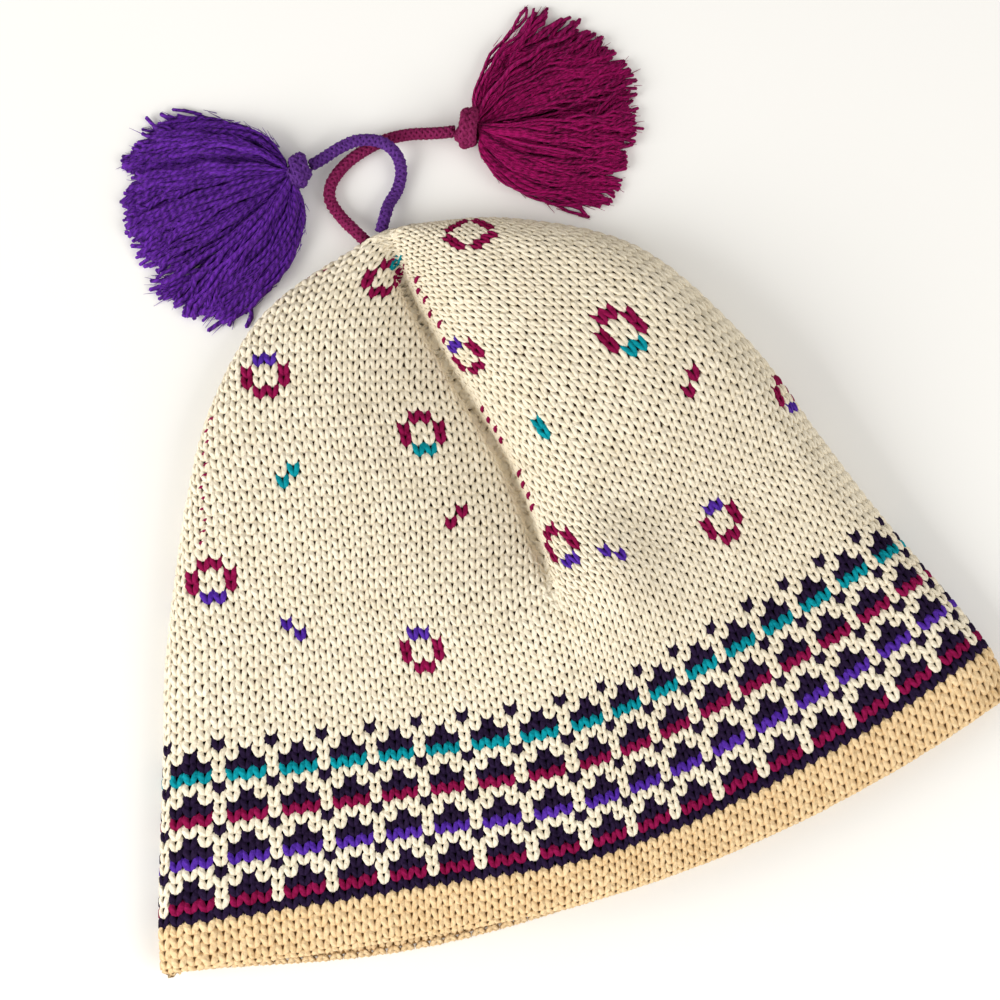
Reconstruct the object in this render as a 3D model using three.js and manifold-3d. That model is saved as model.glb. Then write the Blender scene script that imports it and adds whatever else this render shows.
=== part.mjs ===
// A knitted ski hat with two yarn tassels on cords, lying flat on its back.
// Millimetres. It lies on z = 0. +Y runs from the mouth to the tip of the crown, +X along the brim
// and +Z up through the front. The origin is under the middle of the hat's own box.
import * as THREE from "three";
import { mergeVertices } from "three/addons/utils/BufferGeometryUtils.js";
import Module from "manifold-3d";

const wasm = await Module();
wasm.setup();

// Walls and gaps
const KNIT_WALL = 3.2;
const HEM_WALL = 4.6;
const PIECE_GAP = 0.3;

// The knitting counted in rows from the brim's edge
const ROW_HEIGHT = 3.15;
const HEM_TOP_ROW = 5;
const BAND_TOP_ROW = 21.5;
const TIP_ROW = 68;
const HOLLOW_TOP_ROW = 63;

// Rounding of the two side folds, and of the right gore where it rolls over the front dart
const FOLD_HEIGHT = 6;
const FOLD_REACH = 14;
const SHOULDER = 0.75;
const UNDER_REACH = 9;
const RIDGE_RISE = 7;
const RIDGE_REACH = 9;
const LONGEST_REACH_SHARE = 0.45;
const DART_START_ROW = 27;
const DART_FULL_ROW = 38;
const DART_FADE_ROW = 60;

// Facets round one gore, and samples behind them
const GORE_STEPS = 18;
const GORE_SAMPLES = 90;

// Spans along each layer of the pieces
const CROWN_OUTER_SPANS = 16;
const CROWN_INNER_SPANS = 14;
const BAND_SPANS = 5;
const HEM_TURN_SPANS = 4;

// Sections of the flattened hat: row, left fold, left middle, front dart, right middle, right fold.
// The folds are points in plan. The other three lie on the front layer, their height last.
const SECTIONS = [
  [0, [-116, -107], [-50, -98, 15], [7, -86, 20], [63, -64, 17], [118, -31]],
  [5, [-117, -93], [-51, -83, 16], [6, -73, 21], [60, -49, 19], [111, -16]],
  [21.5, [-117, -45], [-56, -39, 18], [-2, -31, 24], [41, -8, 23], [83, 19.5]],
  [29.5, [-117, -20], [-58, -15, 19], [-8, -10, 26], [30, 14, 26], [68, 40]],
  [43, [-113, 23], [-66, 25, 19], [-21, 30, 19], [11, 47, 28], [46, 71]],
  [52, [-106, 53], [-71, 54, 17], [-36, 57, 16], [-10, 74, 24], [16, 98]],
  [60.2, [-91, 80], [-68, 80, 14], [-50, 83, 13], [-36, 94, 18], [-21, 107]],
  [68, [-62, 101], [-60, 102, 9], [-57, 103, 9], [-54, 104, 9], [-52, 105]],
].map(([row, left, leftMid, dart, rightMid, right]) => ({ row, left, leftMid, dart, rightMid, right }));
const SECTION_POINTS = ["left", "leftMid", "dart", "rightMid", "right"];

// Cords, knots and tassels
const CORD_DIAMETER = 3.8;
const CORD_SIDES = 8;
const CORD_STEPS = 30;
const CORD_APPROACH = 3;
const KNOT_SIDES = 10;
const KNOT_LENGTH = 7.6;
const TASSEL_ROOT = 8;
const TASSEL_HEAD_RADIUS = 4.4;
const TASSEL_HEAD_SCALE = [0.85, 0.85, 0.9];
const TASSEL_HEAD_SEGMENTS = [10, 6];
const LOCK_SIDES = 8;
const LOCK_LIFT = 0.13;
const LOCK_LIFT_LEVELS = 4;
const LONGEST_LOCK = 42;
const SLIMMEST_LOCK_SHARE = 0.45;
const MERGE_TOLERANCE = 0.02;
const WELD_DISTANCE = 1e-4;

// A knot's outline: distance from its axis over its radius, and place over half its length
const KNOT_PROFILE = [
  [0, -1],
  [0.62, -1],
  [0.97, -0.62],
  [0.97, -0.3],
  [0.86, 0],
  [0.97, 0.3],
  [0.97, 0.62],
  [0.62, 1],
  [0, 1],
];

// A lock of yarn: its half width and half height along its length
const LOCK_SECTIONS = [
  { along: -0.04, halfWidth: 1.6, halfHeight: 1.6 },
  { along: 0.12, halfWidth: 3.4, halfHeight: 3.6 },
  { along: 0.4, halfWidth: 5.4, halfHeight: 4.2 },
  { along: 0.75, halfWidth: 6.4, halfHeight: 3.2 },
  { along: 0.94, halfWidth: 5.0, halfHeight: 2.2 },
  { along: 1.0, halfWidth: 3.0, halfHeight: 1.2 },
];

const PURPLE = {
  name: "purple",
  color: 0x451882,
  cordRoute: [
    [-57, 108.6, 4.6],
    [-56.2, 112, 3],
    [-53.7, 117, 2],
    [-52.8, 122.5, 2.6],
    [-54.2, 126.5, 4.8],
    [-58.3, 129.6, 6.2],
    [-65, 130.2, 6.2],
    [-70, 128.7, 5],
  ],
  knotAt: [-82.5, 121.2],
  knotHeading: 210,
  knotRadius: 4.3,
  locks: [
    { heading: 126, length: 23 },
    { heading: 144, length: 38 },
    { heading: 162, length: 43 },
    { heading: 180, length: 43 },
    { heading: 198, length: 42 },
    { heading: 216, length: 43 },
    { heading: 235, length: 44 },
    { heading: 254, length: 41 },
    { heading: 272, length: 27 },
  ],
};

const PLUM = {
  name: "plum",
  color: 0x650536,
  cordRoute: [
    [-66.6, 104, 4.4],
    [-69.6, 107.6, 2.4],
    [-73.4, 113.5, 2],
    [-73.2, 118.2, 2],
    [-70, 123.3, 2],
    [-65.2, 127.6, 2],
    [-57.3, 131.9, 2],
    [-50.5, 133.4, 2.4],
    [-45.5, 133.2, 3.6],
  ],
  knotAt: [-33.2, 134.1],
  knotHeading: 8,
  knotRadius: 4.8,
  locks: [
    { heading: 100, length: 20 },
    { heading: 81, length: 25 },
    { heading: 63, length: 35 },
    { heading: 46, length: 42 },
    { heading: 28, length: 41 },
    { heading: 10, length: 42 },
    { heading: -8, length: 39 },
    { heading: -27, length: 38 },
    { heading: -46, length: 31 },
    { heading: -64, length: 18 },
  ],
};

const CREAM = 0xf0dfc0;
const NAVY = 0x2a2038;

// The rate of change of a column's value at one section of the table
function slopeAt(column, axis, k) {
  const before = SECTIONS[Math.max(0, k - 1)];
  const after = SECTIONS[Math.min(SECTIONS.length - 1, k + 1)];
  return (after[column][axis] - before[column][axis]) / (after.row - before.row);
}

// A column's values at a row, on a smooth curve through the table's own values
function columnAt(column, row) {
  let i = 0;
  while (i < SECTIONS.length - 2 && row > SECTIONS[i + 1].row) i += 1;
  const start = SECTIONS[i];
  const end = SECTIONS[i + 1];
  const span = end.row - start.row;
  const u = (row - start.row) / span;
  return start[column].map((value, axis) => {
    const startRise = span * slopeAt(column, axis, i);
    const endRise = span * slopeAt(column, axis, i + 1);
    const fromStart = (1 - u) ** 2 * ((1 + 2 * u) * value + u * startRise);
    return fromStart + u * u * ((3 - 2 * u) * end[column][axis] + (u - 1) * endRise);
  });
}

// A smooth curve through three values at 0, 1/2 and 1. Without endSlope it is a parabola.
function throughThree(a, b, c, f, endSlope = a - 4 * b + 3 * c) {
  const firstHalf = f < 0.5;
  const u = firstHalf ? 2 * f : 2 * f - 1;
  const [low, high] = firstHalf ? [a, b] : [b, c];
  const [lowSlope, highSlope] = firstHalf ? [-3 * a + 4 * b - c, c - a] : [c - a, endSlope];
  const rise = 0.5 * u * (1 - u) * ((1 - u) * lowSlope - u * highSlope);
  return low * (1 + 2 * u) * (1 - u) ** 2 + high * u * u * (3 - 2 * u) + rise;
}

// From a side fold (f = 0) to the front dart (f = 1). Below the darts the knit runs smoothly across.
function foldToDart(fold, middle, dart, farMiddle, share, f) {
  const ownSlope = fold - 4 * middle + 3 * dart;
  return throughThree(fold, middle, dart, f, THREE.MathUtils.lerp(farMiddle - middle, ownSlope, share));
}

// 0 at an edge and 1 from reach inwards, rising steeply at first as cloth does round a fold
function rounded(distance, reach) {
  const x = Math.min(1, Math.max(0, distance / reach));
  return Math.sqrt(1 - (1 - x) ** 2);
}

// 0 below the darts, 1 where they are fully formed, and 0 again at the tip
function dartShare(row) {
  const begun = THREE.MathUtils.smoothstep(row, DART_START_ROW, DART_FULL_ROW);
  return begun * (1 - THREE.MathUtils.smoothstep(row, DART_FADE_ROW, TIP_ROW));
}

// A point of one gore's outer surface. Gores run left front, right front, right back, left back.
function gorePoint(section, gore, f) {
  const onLeft = gore === 0 || gore === 3;
  const front = gore < 2;
  const fromFoldToDart = gore % 2 === 0 ? f : 1 - f;
  const [fold, middle, farMiddle] = onLeft
    ? [section.left, section.leftMid, section.rightMid]
    : [section.right, section.rightMid, section.leftMid];
  const across = (a, b, c, d) => foldToDart(a, b, c, d, section.dartShare, fromFoldToDart);
  const x = across(fold[0], middle[0], section.dart[0], farMiddle[0]);
  const y = across(fold[1], middle[1], section.dart[1], farMiddle[1]);
  const width = Math.hypot(section.dart[0] - fold[0], section.dart[1] - fold[1]);
  const longestReach = LONGEST_REACH_SHARE * width;
  const fromFold = fromFoldToDart * width;
  if (!front) {
    const lift = 1 - rounded(fromFold, Math.min(UNDER_REACH, longestReach));
    return new THREE.Vector3(x, y, FOLD_HEIGHT * lift);
  }
  const rise = onLeft ? 0 : RIDGE_RISE * section.dartShare;
  let top = across(SHOULDER * middle[2], middle[2], section.dart[2] + rise, farMiddle[2]);
  top -= rise * (1 - rounded(width - fromFold, Math.min(RIDGE_REACH, longestReach)));
  const z = FOLD_HEIGHT + (top - FOLD_HEIGHT) * rounded(fromFold, Math.min(FOLD_REACH, longestReach));
  return new THREE.Vector3(x, y, z);
}

// Points evenly spaced along one gore, its first end included and its last left to the next gore
function goreLine(section, gore) {
  const fine = [];
  for (let i = 0; i <= GORE_SAMPLES; i += 1) {
    fine.push(gorePoint(section, gore, 0.5 - 0.5 * Math.cos((Math.PI * i) / GORE_SAMPLES)));
  }
  const reached = [0];
  for (let i = 1; i < fine.length; i += 1) {
    reached.push(reached[i - 1] + fine[i].distanceTo(fine[i - 1]));
  }
  const points = [];
  let k = 0;
  for (let i = 0; i < GORE_STEPS; i += 1) {
    const wanted = (reached[GORE_SAMPLES] * i) / GORE_STEPS;
    while (reached[k + 1] < wanted) k += 1;
    const part = (wanted - reached[k]) / (reached[k + 1] - reached[k]);
    points.push(fine[k].clone().lerp(fine[k + 1], part));
  }
  return points;
}

function outerRing(row) {
  const section = { dartShare: dartShare(row) };
  for (const column of SECTION_POINTS) section[column] = columnAt(column, row);
  return [0, 1, 2, 3].flatMap((gore) => goreLine(section, gore));
}

// A ring sunk into the wall by depth, square to the outer surface
function sunkRing(row, depth) {
  const ring = outerRing(row);
  if (depth === 0) return ring;
  const below = outerRing(Math.max(0, row - 1));
  const above = outerRing(Math.min(TIP_ROW, row + 1));
  return ring.map((point, i) => {
    const next = ring[(i + 1) % ring.length];
    const previous = ring[(i + ring.length - 1) % ring.length];
    const along = new THREE.Vector3().subVectors(next, previous);
    const up = new THREE.Vector3().subVectors(above[i], below[i]);
    const outwards = along.cross(up).normalize();
    return point.clone().addScaledVector(outwards, -depth);
  });
}

// A closed mesh through rings of points: a tube with fanned ends, or a loop when it is looped
function skin(rings, looped) {
  const size = rings[0].length;
  const points = rings.flat();
  const index = [];
  const spans = looped ? rings.length : rings.length - 1;
  for (let r = 0; r < spans; r += 1) {
    const low = r * size;
    const high = ((r + 1) % rings.length) * size;
    for (let i = 0; i < size; i += 1) {
      const j = (i + 1) % size;
      index.push(low + i, high + j, low + j, low + i, high + i, high + j);
    }
  }
  if (!looped) {
    for (const end of [0, rings.length - 1]) {
      const hub = points.length;
      points.push(rings[end].reduce((sum, p) => sum.add(p), new THREE.Vector3()).divideScalar(size));
      for (let i = 0; i < size; i += 1) {
        const j = (i + 1) % size;
        const face = [hub, end * size + i, end * size + j];
        index.push(...(end === 0 ? face : face.reverse()));
      }
    }
  }
  const geometry = new THREE.BufferGeometry().setFromPoints(points);
  geometry.setIndex(index);
  return geometry;
}

function knit(color, roughness = 0.95) {
  return new THREE.MeshStandardMaterial({ color, roughness, metalness: 0 });
}

function named(name, geometry, material) {
  const mesh = new THREE.Mesh(geometry, material);
  mesh.name = name;
  return mesh;
}

function rowsBetween(from, to, steps) {
  return Array.from({ length: steps + 1 }, (_, i) => from + ((to - from) * i) / steps);
}

const HALF_GAP_ROWS = PIECE_GAP / 2 / ROW_HEIGHT;

function crown() {
  const base = BAND_TOP_ROW + HALF_GAP_ROWS;
  const outer = rowsBetween(TIP_ROW, base, CROWN_OUTER_SPANS).map((row) => sunkRing(row, 0));
  const inner = rowsBetween(base, HOLLOW_TOP_ROW, CROWN_INNER_SPANS).map((row) => sunkRing(row, KNIT_WALL));
  return named("crown", skin([...outer, ...inner], false), knit(CREAM));
}

function patternedBand() {
  const low = HEM_TOP_ROW + HALF_GAP_ROWS;
  const high = BAND_TOP_ROW - HALF_GAP_ROWS;
  const outer = rowsBetween(high, low, BAND_SPANS).map((row) => sunkRing(row, 0));
  const inner = rowsBetween(low, high, BAND_SPANS).map((row) => sunkRing(row, KNIT_WALL));
  return named("patterned_band", skin([...outer, ...inner], true), knit(NAVY));
}

// The hem turns under, so its lower edge is half round
function hemBand() {
  const top = HEM_TOP_ROW - HALF_GAP_ROWS;
  const rings = [sunkRing(top, 0), sunkRing(0.5 * HEM_TOP_ROW, 0)];
  const turnRows = (0.5 * HEM_WALL) / ROW_HEIGHT;
  for (let i = 0; i <= HEM_TURN_SPANS; i += 1) {
    const turn = (Math.PI * i) / HEM_TURN_SPANS;
    rings.push(sunkRing(turnRows * (1 - Math.sin(turn)), 0.5 * HEM_WALL * (1 - Math.cos(turn))));
  }
  rings.push(sunkRing(0.5 * HEM_TOP_ROW, HEM_WALL), sunkRing(top, HEM_WALL));
  return named("hem_band", skin(rings, true), knit(CREAM));
}

// The route ends square to the knot's face, on the knot's own axis
function cordPath(yarn) {
  const heading = THREE.MathUtils.degToRad(yarn.knotHeading);
  const ahead = new THREE.Vector3(Math.cos(heading), Math.sin(heading), 0);
  const knotCentre = new THREE.Vector3(...yarn.knotAt, yarn.knotRadius);
  const face = knotCentre.clone().addScaledVector(ahead, -0.5 * KNOT_LENGTH - PIECE_GAP);
  const approach = face.clone().addScaledVector(ahead, -CORD_APPROACH);
  const route = yarn.cordRoute.map((point) => new THREE.Vector3(...point));
  return new THREE.CatmullRomCurve3([...route, approach, face]);
}

function cord(yarn) {
  const path = cordPath(yarn);
  const section = new THREE.Shape();
  for (let i = 0; i < CORD_SIDES; i += 1) {
    const turn = (2 * Math.PI * i) / CORD_SIDES;
    const x = 0.5 * CORD_DIAMETER * Math.cos(turn);
    const y = 0.5 * CORD_DIAMETER * Math.sin(turn);
    if (i === 0) section.moveTo(x, y);
    else section.lineTo(x, y);
  }
  const options = { steps: CORD_STEPS, bevelEnabled: false, extrudePath: path };
  const geometry = new THREE.ExtrudeGeometry(section, options);
  return named(`${yarn.name}_cord`, geometry, knit(yarn.color));
}

// Two humps of wound cord, turned about the knot's own axis and laid along the cord's heading
function knot(yarn) {
  const half = 0.5 * KNOT_LENGTH;
  const radius = yarn.knotRadius;
  const profile = KNOT_PROFILE.map(([out, along]) => new THREE.Vector2(out * radius, along * half));
  const geometry = new THREE.LatheGeometry(profile, KNOT_SIDES);
  const mesh = named(`${yarn.name}_knot`, geometry, knit(yarn.color));
  mesh.rotation.order = "ZYX";
  mesh.rotation.z = THREE.MathUtils.degToRad(yarn.knotHeading - 90);
  mesh.position.set(...yarn.knotAt, radius);
  return mesh;
}

function tasselRoot(yarn) {
  const heading = THREE.MathUtils.degToRad(yarn.knotHeading);
  const ahead = new THREE.Vector2(Math.cos(heading), Math.sin(heading));
  return new THREE.Vector2(...yarn.knotAt).addScaledVector(ahead, TASSEL_ROOT);
}

// A flat tapered lock from the root outwards, lifted a little so that no two lie in one plane
function lock(root, heading, length, lift) {
  const turn = THREE.MathUtils.degToRad(heading);
  const ahead = new THREE.Vector3(Math.cos(turn), Math.sin(turn), 0);
  const across = new THREE.Vector3(Math.sin(turn), -Math.cos(turn), 0);
  const share = THREE.MathUtils.lerp(SLIMMEST_LOCK_SHARE, 1, Math.min(1, length / LONGEST_LOCK));
  const rings = LOCK_SECTIONS.map(({ along, halfWidth, halfHeight }) => {
    const middle = new THREE.Vector3(root.x, root.y, halfHeight + lift);
    middle.addScaledVector(ahead, along * length);
    return Array.from({ length: LOCK_SIDES }, (_, i) => {
      const angle = (2 * Math.PI * i) / LOCK_SIDES;
      const point = middle.clone().addScaledVector(across, share * halfWidth * Math.cos(angle));
      point.z += halfHeight * Math.sin(angle);
      return point;
    });
  });
  return skin(rings, false);
}

function solidOf(geometry) {
  const bare = geometry.clone();
  bare.deleteAttribute("normal");
  bare.deleteAttribute("uv");
  const merged = mergeVertices(bare, WELD_DISTANCE);
  return new wasm.Manifold(
    new wasm.Mesh({
      numProp: 3,
      vertProperties: merged.attributes.position.array,
      triVerts: new Uint32Array(merged.index.array),
    }),
  );
}

function geometryOf(solid) {
  const mesh = solid.getMesh();
  const geometry = new THREE.BufferGeometry();
  geometry.setAttribute("position", new THREE.BufferAttribute(mesh.vertProperties, 3));
  geometry.setIndex(new THREE.BufferAttribute(mesh.triVerts, 1));
  return geometry;
}

// The locks are fused to a round head just below the knot
function tassel(yarn) {
  const root = tasselRoot(yarn);
  const head = new THREE.SphereGeometry(TASSEL_HEAD_RADIUS, ...TASSEL_HEAD_SEGMENTS);
  head.scale(...TASSEL_HEAD_SCALE);
  head.translate(root.x, root.y, TASSEL_HEAD_SCALE[2] * TASSEL_HEAD_RADIUS);
  let fused = solidOf(head);
  yarn.locks.forEach(({ heading, length }, i) => {
    fused = fused.add(solidOf(lock(root, heading, length, LOCK_LIFT * (i % LOCK_LIFT_LEVELS))));
  });
  return named(`${yarn.name}_tassel`, geometryOf(fused.simplify(MERGE_TOLERANCE)), knit(yarn.color));
}

const hat = new THREE.Group();
hat.add(crown(), patternedBand(), hemBand());
for (const yarn of [PURPLE, PLUM]) hat.add(cord(yarn), knot(yarn), tassel(yarn));

export default hat;
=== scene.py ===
"""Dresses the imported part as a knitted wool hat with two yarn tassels, lying flat on a pale table.

Sizes here are millimetres unless a name says otherwise. Meshes are written in metres.
"""
import math

import bpy
import numpy as np
from bpy.props import FloatProperty, FloatVectorProperty, PointerProperty
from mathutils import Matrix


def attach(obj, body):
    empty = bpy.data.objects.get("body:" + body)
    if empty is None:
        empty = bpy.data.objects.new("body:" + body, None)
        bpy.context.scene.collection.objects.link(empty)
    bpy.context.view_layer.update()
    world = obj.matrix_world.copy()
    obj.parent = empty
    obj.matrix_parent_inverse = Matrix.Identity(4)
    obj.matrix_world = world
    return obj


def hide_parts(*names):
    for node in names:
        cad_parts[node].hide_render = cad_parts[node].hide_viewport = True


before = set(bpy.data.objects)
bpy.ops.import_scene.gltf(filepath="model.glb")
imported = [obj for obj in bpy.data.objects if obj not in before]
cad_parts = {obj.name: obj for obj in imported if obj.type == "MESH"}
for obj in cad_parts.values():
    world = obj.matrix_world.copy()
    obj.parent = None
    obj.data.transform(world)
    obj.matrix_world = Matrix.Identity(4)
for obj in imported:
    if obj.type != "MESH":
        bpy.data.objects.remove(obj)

bl_info = {
    "name": "Tassel hat",
    "version": (1, 0, 0),
    "blender": (4, 5, 0),
    "location": "View3D > Sidebar > Hat",
    "description": "Builds a knitted hat with two tassels on cords, stitch by stitch",
    "category": "Object",
}

MM = 0.001
BODY = "root"

# The hat's shape, as in the part's source

KNIT_WALL = 3.2
HEM_WALL = 4.6
ROW_HEIGHT = 3.15
HEM_TOP_ROW = 4.5
BAND_TOP_ROW = 21.5
TIP_ROW = 68
FOLD_HEIGHT = 6
FOLD_REACH = 14
SHOULDER = 0.75
UNDER_REACH = 9
# The front dart lies in a valley. The cloth left of it falls gently to it, and a ridge stands right of it.
VALLEY_DEPTH = 6.5
LEFT_SLOPE_REACH = 46
RIDGE_RISE = 3
RIDGE_REACH = 19
CREASE_DROP = 2.8
CREASE_REACH = 1.7
# Where the cloth stands up beside the foot of the front dart: x, y, reach and rise
PUFF = (4, 0, 15, 7)
# Where the hat is narrow, a fold and a slope to the dart take up at most these shares of a gore's width
FOLD_SHARE = 0.45
SLOPE_SHARE = 0.6
DART_START_ROW = 27
DART_FULL_ROW = 38
DART_FADE_ROW = 60

# Sections of the flattened hat: row, left fold, left middle, front dart, right middle, right fold
SECTIONS = [
    (0, (-116, -107), (-50, -98, 15), (7, -86, 20), (63, -64, 17), (118, -31)),
    (5, (-117, -93), (-51, -83, 16), (6, -73, 21), (60, -49, 19), (111, -16)),
    (21.5, (-117, -45), (-56, -39, 18), (-2, -31, 24), (41, -8, 23), (83, 19.5)),
    (29.5, (-117, -20), (-58, -15, 19), (-8, -10, 26), (30, 14, 26), (68, 40)),
    (43, (-113, 23), (-66, 25, 19), (-21, 30, 19), (11, 47, 28), (46, 71)),
    (52, (-106, 53), (-71, 54, 17), (-36, 57, 16), (-10, 74, 24), (16, 98)),
    (60.2, (-91, 80), (-68, 80, 14), (-50, 83, 13), (-36, 94, 18), (-21, 107)),
    (68, (-62, 101), (-60, 102, 9), (-57, 103, 9), (-54, 104, 9), (-52, 105)),
]
SECTION_ROWS = np.array([s[0] for s in SECTIONS], float)
LEFT, LEFT_MID, DART, RIGHT_MID, RIGHT = (
    np.array([s[i] for s in SECTIONS], float) for i in range(1, 6)
)

# Wales (stitch columns) of one gore at certain rows of the table. The darts cut the outer ones off.
GORES = 4
FRONT_GORES = 2
GORE_WALES = 34
FEWEST_WALES = 0.5
WALE_ROWS = [0, 29.5, 43, 52, 60.2, 68]
WALES_ON_LEFT = [34, 34, 28.5, 22, 13, 0]
WALES_ON_RIGHT = [34, 34, 27, 25, 17, 0]
# The right half's knitted rows, and the rows of the table where they lie
KNITTED_ROWS = [-20, 32, 42.6, 48.6, 60.6, 70.2]
TABLE_ROWS = [-20, 32, 44, 50, 60, 68]
LAST_KNITTED_ROW = 70

# The back's hem hangs a little below the front's on the left
BACK_DROP = 3
BACK_DROP_ROWS = 12

# The knit is pulled round the hat near the brim: wale round the whole hat, and its shift in wales
PULL = [
    *((0, 0.3), (4, 1.1), (8, 1.26), (12, 1.2), (16, 0.95), (20, 0.58), (24, 0.05)),
    *((30, -0.25), (34, -0.4), (38, -1.1), (44, -1.85), (52, -2.25), (58, -2.6)),
    *((68, -2.6), (84, -1.8), (120, 0.0), (136, 0.3)),
]
# The pull carries wales at most this far past a gore's edge
PULL_REACH = 4

# How finely the outer surface is sampled
GRID_ROW_STEP = 0.25
GRID_STEPS_PER_GORE = 170
LINE_SAMPLES = 240
# Reading stops this far short of the last sampled row
ROW_EDGE = 0.001
TINY = 1e-9

# The knit's yarns, and their letters in the charts
YARNS = ("cream", "navy", "teal", "plum", "violet")
C, N, T, P, V = range(len(YARNS))

# The band's repeat from its top row down: four stitches (spine, left, middle, right)
BAND_CHART = [
    line
    for yarn in (T, P, V, P)
    for line in ((N, C, C, C), (C, C, N, C), (C, N, N, N), (C, yarn, yarn, yarn))
]
BAND_CHART.append((N, N, N, N))

# Tassels and their cords, as in the part's source
CORD_DIAMETER = 3.8
CORD_APPROACH = 3
KNOT_LENGTH = 7.6
TASSEL_ROOT = 8
TASSEL_START = 3.0
PIECE_GAP = 0.3
PURPLE_SET = {
    "name": "purple",
    "route": [
        (-57, 108.6, 4.6),
        (-56.2, 112, 3),
        (-53.7, 117, 2),
        (-52.8, 122.5, 2.6),
        (-54.2, 126.5, 4.8),
        (-58.3, 129.6, 6.2),
        (-65, 130.2, 6.2),
        (-70, 128.7, 5),
    ],
    "root": (-58.4, 103.2, 4.4),
    "knot": (-82.5, 121.2),
    "heading": 210,
    "ends": (149, 256),
    "knot_radius": 4.3,
    "knot_swell": 0.8,
    # Where the tassel's locks head, in degrees, and their lengths
    "locks": [
        *((126, 23), (144, 38), (162, 43), (180, 43), (198, 42)),
        *((216, 43), (235, 44), (254, 41), (272, 27)),
    ],
    "seed": 5,
}
PLUM_SET = {
    "name": "plum",
    "route": [
        (-66.6, 104, 4.4),
        (-69.6, 107.6, 2.4),
        (-73.4, 113.5, 2),
        (-73.2, 118.2, 2),
        (-70, 123.3, 2),
        (-65.2, 127.6, 2),
        (-57.3, 131.9, 2),
        (-50.5, 133.4, 2.4),
        (-45.5, 133.2, 3.6),
    ],
    "root": (-62.8, 100.2, 4.6),
    "knot": (-33.2, 134.1),
    "heading": 8,
    "ends": (-38, 62),
    "knot_radius": 4.8,
    "knot_swell": 1.3,
    "locks": [
        *((100, 20), (81, 25), (63, 35), (46, 42), (28, 41)),
        *((10, 42), (-8, 39), (-27, 38), (-46, 31), (-64, 18)),
    ],
    "seed": 9,
}


def linear(code):
    """An sRGB hex colour as linear red, green, blue and alpha."""
    values = [int(code[i : i + 2], 16) / 255 for i in (1, 3, 5)]
    return (*[v / 12.92 if v <= 0.04045 else ((v + 0.055) / 1.055) ** 2.4 for v in values], 1.0)


def unit(vectors):
    return vectors / np.maximum(np.linalg.norm(vectors, axis=-1, keepdims=True), TINY)


def reached_along(lines):
    """The length of each line from its start to each of its points."""
    steps = np.linalg.norm(np.diff(lines, axis=-2), axis=-1)
    return np.concatenate([np.zeros((*steps.shape[:-1], 1)), np.cumsum(steps, axis=-1)], axis=-1)


# The hat's outer surface


def column_at(column, rows):
    """A column of the table at these rows, on a smooth curve through the table's own values."""
    last = len(SECTION_ROWS) - 1
    before = np.maximum(np.arange(last + 1) - 1, 0)
    after = np.minimum(np.arange(last + 1) + 1, last)
    slopes = (column[after] - column[before]) / (SECTION_ROWS[after] - SECTION_ROWS[before])[:, None]
    i = np.clip(np.searchsorted(SECTION_ROWS, rows) - 1, 0, last - 1)
    span = (SECTION_ROWS[i + 1] - SECTION_ROWS[i])[:, None]
    u = (rows - SECTION_ROWS[i])[:, None] / span
    return (
        (1 + 2 * u) * (1 - u) ** 2 * column[i]
        + u * (1 - u) ** 2 * span * slopes[i]
        + u * u * (3 - 2 * u) * column[i + 1]
        + u * u * (u - 1) * span * slopes[i + 1]
    )


def through_three(a, b, c, f, end_slope):
    """A smooth curve through three values at 0, 1/2 and 1, with a given slope at its end."""
    first = f < 0.5
    u = np.where(first, 2 * f, 2 * f - 1)
    low, high = np.where(first, a, b), np.where(first, b, c)
    low_slope = np.where(first, -3 * a + 4 * b - c, c - a)
    high_slope = np.where(first, c - a, end_slope)
    rise = 0.5 * u * (1 - u) * ((1 - u) * low_slope - u * high_slope)
    return low * (1 + 2 * u) * (1 - u) ** 2 + high * u * u * (3 - 2 * u) + rise


def rounded(distance, reach):
    """0 at an edge and 1 from reach inwards, steep at first as cloth is round a fold."""
    x = np.clip(distance / reach, 0, 1)
    return np.sqrt(1 - (1 - x) ** 2)


def swollen(distance, reach):
    """0 at a seam and 1 from reach inwards, at a slope that shows from above."""
    return 1 - (1 - np.clip(distance / reach, 0, 1)) ** 2


def smoothstep(value, low, high):
    x = np.clip((value - low) / (high - low), 0, 1)
    return x * x * (3 - 2 * x)


def dart_share(rows):
    """0 below the darts, 1 where they are fully formed, and 0 again at the tip."""
    return smoothstep(rows, DART_START_ROW, DART_FULL_ROW) * (1 - smoothstep(rows, DART_FADE_ROW, TIP_ROW))


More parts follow.
